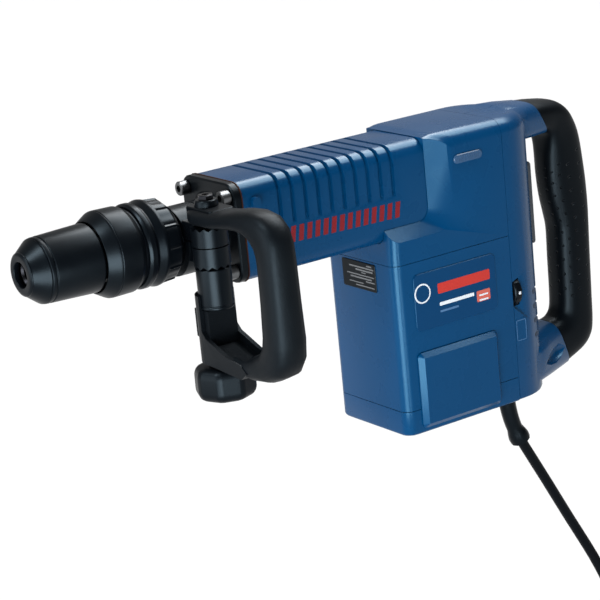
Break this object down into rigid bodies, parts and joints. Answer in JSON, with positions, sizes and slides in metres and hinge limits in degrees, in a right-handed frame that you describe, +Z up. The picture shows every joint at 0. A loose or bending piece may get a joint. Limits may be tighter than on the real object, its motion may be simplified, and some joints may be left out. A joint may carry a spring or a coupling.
{
  "type": "electric jackhammer",
  "caption": "Electric jackhammer with a ribbed impact housing, sleeve-locked tool holder, swivelling side bow handle, D-shaped rear grip and mains cord.",
  "frame": {"origin": "middle of the rear D-shaped grip, where the hand holds the tool", "axes": "+X along the drive axis towards the rear, so the nose points along -X; +Z up, away from the motor; the side handle is on -Y"},
  "size_m": [0.722, 0.2138, 0.6821],
  "materials": {
    "blue_plastic": "satin",
    "label_blue": "satin",
    "black_gloss": "gloss",
    "black_satin": "satin",
    "black_plastic": "satin",
    "black_matte": "matte",
    "rubber": "matte",
    "cord_rubber": "satin",
    "grey_plastic": "satin",
    "lens": "gloss",
    "gasket": "matte",
    "steel": "satin",
    "aluminium": "satin",
    "copper": "satin",
    "brass": "polished"
  },
  "bodies": {
    "housing": {"hammer_housing": "blue_plastic", "gear_housing": "blue_plastic", "motor_housing": "blue_plastic", "motor_end_cap": "blue_plastic", "side_cover_near": "blue_plastic", "side_cover_far": "blue_plastic", "label_panel_near": "label_blue", "label_panel_far": "label_blue", "rating_plate": "black_plastic", "service_lens": "lens", "front_flange": "black_satin", "front_gasket": "gasket", "front_screw_1": "steel", "front_screw_2": "steel", "front_screw_3": "steel", "front_screw_4": "steel", "cylinder_tube": "steel", "stator_core": "steel", "rotor_bearing": "steel", "carbon_brush_near": "black_plastic", "carbon_brush_far": "black_plastic", "handle_shell_near": "blue_plastic", "handle_shell_far": "blue_plastic", "rear_grip": "rubber", "switch_module": "black_plastic", "control_module": "black_plastic", "strain_relief": "rubber", "cord": "cord_rubber", "cord_coil": "cord_rubber", "cord_tail": "cord_rubber", "plug_body": "black_matte", "plug_pin_1": "brass", "plug_pin_2": "brass"},
    "chuck": {"tool_holder": "steel", "dust_cap": "rubber", "locking_roller_upper": "steel", "locking_roller_lower": "steel", "guide_flange": "black_gloss", "sleeve_spring": "steel"},
    "sleeve": {"locking_sleeve": "black_gloss"},
    "adjuster": {"vario_ring": "black_gloss"},
    "clamp": {"clamp_band": "black_satin"},
    "bow": {"bow_handle": "black_matte", "clamp_sleeve": "black_satin", "clamp_bolt": "steel"},
    "washer": {"clamp_washer": "steel"},
    "knob": {"clamp_knob": "black_plastic"},
    "rotor": {"rotor_shaft": "steel", "rotor_core": "steel", "commutator": "copper", "motor_fan": "black_plastic"},
    "crank": {"crank_wheel": "steel"},
    "piston_group": {"piston": "aluminium", "wrist_pin": "steel"},
    "rod": {"connecting_rod": "aluminium"},
    "striker_mass": {"striker": "steel"},
    "impact": {"impact_bolt": "steel"},
    "switch": {"switch_paddle": "grey_plastic"},
    "dial": {"speed_dial": "black_plastic"}
  },
  "joints": [
    {"name": "chuck_turn", "type": "hinge", "parent": "housing", "child": "chuck", "pos_m": [-0.492, 0, 0.086], "axis": [1, 0, 0], "continuous": true},
    {"name": "sleeve_pull", "type": "slide", "parent": "chuck", "child": "sleeve", "axis": [1, 0, 0], "range_m": [0, 0.012], "stiffness_N_per_m": 800, "springref_m": -0.01},
    {"name": "ring_push", "type": "slide", "parent": "housing", "child": "adjuster", "axis": [-1, 0, 0], "range_m": [0, 0.0022], "stiffness_N_per_m": 2000, "springref_m": -0.006},
    {"name": "clamp_turn", "type": "hinge", "parent": "housing", "child": "clamp", "pos_m": [-0.405, 0, 0.086], "axis": [1, 0, 0], "continuous": true},
    {"name": "bow_swing", "type": "hinge", "parent": "clamp", "child": "bow", "pos_m": [-0.411, -0.053, 0.086], "axis": [0, 0, 1], "range_deg": [-60, 60]},
    {"name": "washer_lift", "type": "slide", "parent": "bow", "child": "washer", "axis": [0, 0, -1], "range_m": [0, 0.0019]},
    {"name": "knob_turn", "type": "hinge", "parent": "washer", "child": "knob", "pos_m": [-0.411, -0.053, -0.024], "axis": [0, 0, -1], "range_deg": [0, 540]},
    {"name": "rotor_spin", "type": "hinge", "parent": "housing", "child": "rotor", "pos_m": [-0.166, 0, -0.054], "axis": [0, 0, 1], "continuous": true},
    {"name": "crank_turn", "type": "hinge", "parent": "housing", "child": "crank", "pos_m": [-0.196, 0, 0.046], "axis": [0, 0, 1], "continuous": true},
    {"name": "piston_stroke", "type": "slide", "parent": "housing", "child": "piston_group", "axis": [-1, 0, 0], "range_m": [0, 0.03]},
    {"name": "rod_swing", "type": "hinge", "parent": "piston_group", "child": "rod", "pos_m": [-0.236, 0, 0.086], "axis": [0, 0, 1], "range_deg": [-15, 15]},
    {"name": "striker_flight", "type": "slide", "parent": "housing", "child": "striker_mass", "axis": [-1, 0, 0], "range_m": [-0.005, 0.012]},
    {"name": "impact_travel", "type": "slide", "parent": "chuck", "child": "impact", "axis": [-1, 0, 0], "range_m": [0, 0.01]},
    {"name": "switch_press", "type": "hinge", "parent": "housing", "child": "switch", "pos_m": [-0.061, 0, 0.0715], "axis": [0, 1, 0], "range_deg": [0, 4], "stiffness_Nm_per_rad": 2, "springref_deg": -4.58},
    {"name": "dial_turn", "type": "hinge", "parent": "housing", "child": "dial", "pos_m": [-0.1033, -0.038, -0.0275], "axis": [1, 0, 0], "range_deg": [0, 270]}
  ],
  "couplings": [
    {"joint": "crank_turn", "follows": "rotor_spin", "ratio": -0.14286},
    {"joint": "washer_lift", "follows": "knob_turn", "m_per_rad": 0.00019894}
  ]
}
